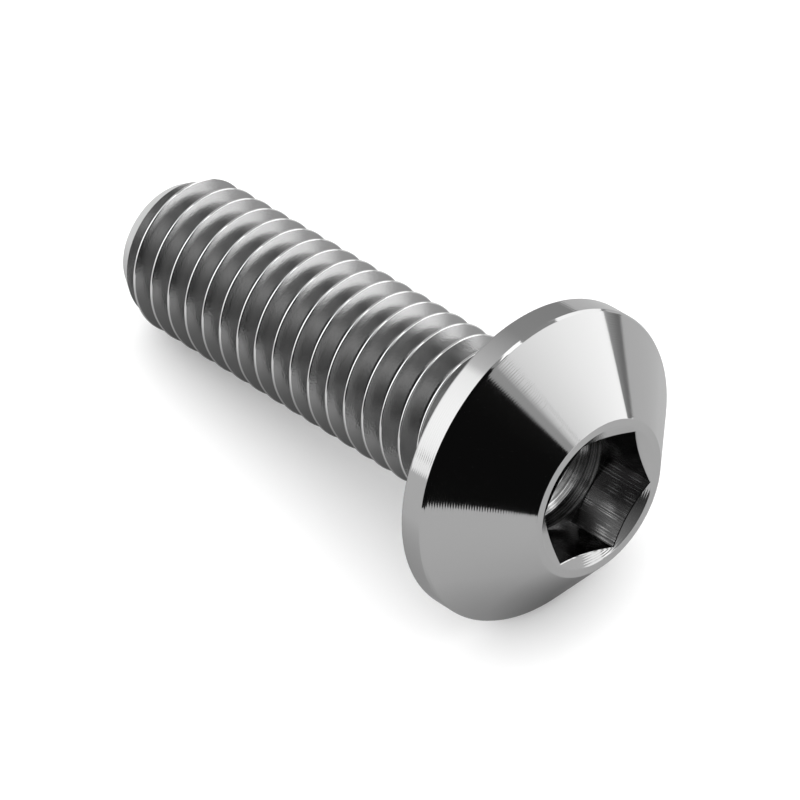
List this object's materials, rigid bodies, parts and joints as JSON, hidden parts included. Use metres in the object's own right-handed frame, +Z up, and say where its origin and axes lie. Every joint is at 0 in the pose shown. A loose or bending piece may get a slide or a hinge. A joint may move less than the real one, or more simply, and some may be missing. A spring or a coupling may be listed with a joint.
{
  "type": "socket head bolt",
  "caption": "Fully threaded metric bolt with a turned, tapered head and a countersunk hexagon socket. It lies on its head's rim and its thread.",
  "frame": {"origin": "on the surface that the bolt lies on, under the middle of its box", "axes": "+X is the level direction from the thread's end to the head, and +Z is up. The bolt's own axis lies in the XZ plane and rises 9.7 degrees towards the head."},
  "size_m": [0.0306, 0.0158, 0.0158],
  "materials": {
    "turned_metal": "Bright turned head and socket, with a satin rolled thread."
  },
  "bodies": {
    "root": {"bolt": "turned_metal"}
  },
  "joints": []
}
